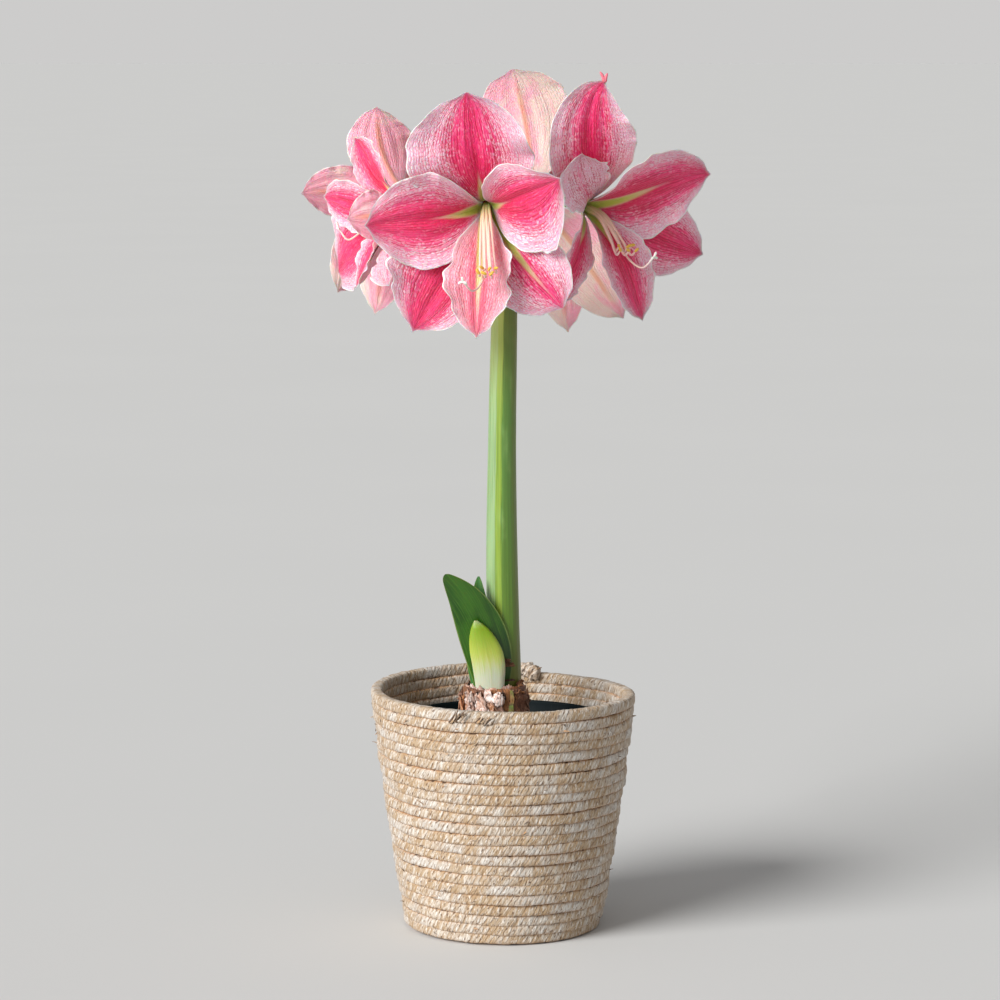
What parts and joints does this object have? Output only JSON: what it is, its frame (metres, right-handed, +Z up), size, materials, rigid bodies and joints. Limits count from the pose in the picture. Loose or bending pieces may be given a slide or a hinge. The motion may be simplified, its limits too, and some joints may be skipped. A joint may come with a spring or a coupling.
{
  "type": "amaryllis in a pot",
  "caption": "Flowering amaryllis bulb in a grow pot inside a round coiled rope basket, with an upright stalk, a young shoot and a head of open trumpet blooms.",
  "frame": {"origin": "centre of the basket's flat base, on the surface that it stands on", "axes": "+Z up along the stalk, -Y towards the front, where the front bloom faces, +X to the viewer's right"},
  "size_m": [0.3487, 0.3171, 0.7314],
  "materials": {
    "rope_fibre": "matt twisted plant fibre, cream to tan",
    "pot_plastic": "thin dark green moulded plastic",
    "potting_soil": "dark crumbly potting soil",
    "bulb_scale": "dry papery brown scales, peeling",
    "stalk_green": "fresh green, satin, finely ribbed",
    "leaf_green": "dark green, satin",
    "shoot_cream": "creamy white below, yellow-green above",
    "dry_bract": "withered, papery",
    "tepal_pink": "crimson-pink veins on white, white margins, green throat, satin",
    "stamen_cream": "white filaments and style, yellow anthers",
    "pedicel_green": "fresh green, satin"
  },
  "bodies": {
    "root": {"basket": "rope_fibre", "grow_pot": "pot_plastic", "soil": "potting_soil", "bulb": "bulb_scale", "scape": "stalk_green", "leaf_front": "leaf_green", "leaf_back": "leaf_green", "new_shoot": "shoot_cream", "spathe_right": "dry_bract", "spathe_left": "dry_bract", "tepals_front": "tepal_pink", "stamens_front": "stamen_cream", "pedicel_front": "pedicel_green", "tepals_right": "tepal_pink", "stamens_right": "stamen_cream", "pedicel_right": "pedicel_green", "tepals_left": "tepal_pink", "stamens_left": "stamen_cream", "pedicel_left": "pedicel_green", "tepals_back_left": "tepal_pink", "stamens_back_left": "stamen_cream", "pedicel_back_left": "pedicel_green", "tepals_back_right": "tepal_pink", "stamens_back_right": "stamen_cream", "pedicel_back_right": "pedicel_green"}
  },
  "joints": []
}
